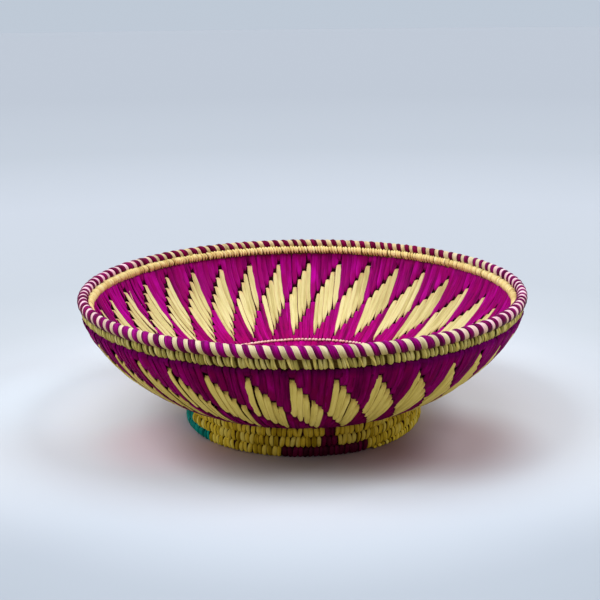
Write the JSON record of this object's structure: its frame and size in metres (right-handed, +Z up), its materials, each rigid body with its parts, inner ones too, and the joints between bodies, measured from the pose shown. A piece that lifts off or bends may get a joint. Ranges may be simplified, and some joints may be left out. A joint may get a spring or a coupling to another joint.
{
  "type": "coiled grass basket",
  "caption": "Shallow open bowl coiled from grass bundles on a coiled foot ring, with a wrapped rim roll and stepped feathers of leaf strips stitched through the wall.",
  "frame": {"origin": "on the ground, under the middle of the foot ring and bowl", "axes": "+Z up, along the axis of the bowl; +X and +Y are level"},
  "size_m": [0.3194, 0.3194, 0.1],
  "materials": {
    "leaf_magenta": "dyed palm leaf, satin",
    "leaf_cream": "undyed palm leaf, satin",
    "straw_natural": "undyed straw wraps, matte",
    "straw_yellow": "golden straw wraps, matte",
    "straw_teal": "dyed straw wraps, matte",
    "cord_peach": "twisted cord, matte"
  },
  "bodies": {
    "root": {"centre_knot": "leaf_magenta", "feather_01": "leaf_cream", "feather_02": "leaf_cream", "feather_03": "leaf_cream", "feather_04": "leaf_cream", "feather_05": "leaf_cream", "feather_06": "leaf_cream", "feather_07": "leaf_cream", "feather_08": "leaf_cream", "feather_09": "leaf_cream", "feather_10": "leaf_cream", "feather_11": "leaf_cream", "feather_12": "leaf_cream", "feather_13": "leaf_cream", "feather_14": "leaf_cream", "feather_15": "leaf_cream", "feather_16": "leaf_cream", "feather_17": "leaf_cream", "feather_18": "leaf_cream", "feather_19": "leaf_cream", "feather_20": "leaf_cream", "feather_21": "leaf_cream", "feather_22": "leaf_cream", "feather_23": "leaf_cream", "feather_24": "leaf_cream", "feather_25": "leaf_cream", "feather_26": "leaf_cream", "feather_27": "leaf_cream", "feather_28": "leaf_cream", "feather_29": "leaf_cream", "feather_30": "leaf_cream", "feather_31": "leaf_cream", "feather_32": "leaf_cream", "feather_33": "leaf_cream", "feather_34": "leaf_cream", "feather_35": "leaf_cream", "feather_36": "leaf_cream", "floor_coil": "leaf_magenta", "foot_coil": "straw_yellow", "foot_seam_cord": "cord_peach", "rim_coil": "straw_natural", "rim_roll": "leaf_magenta", "wall_coil": "leaf_magenta"}
  },
  "joints": []
}
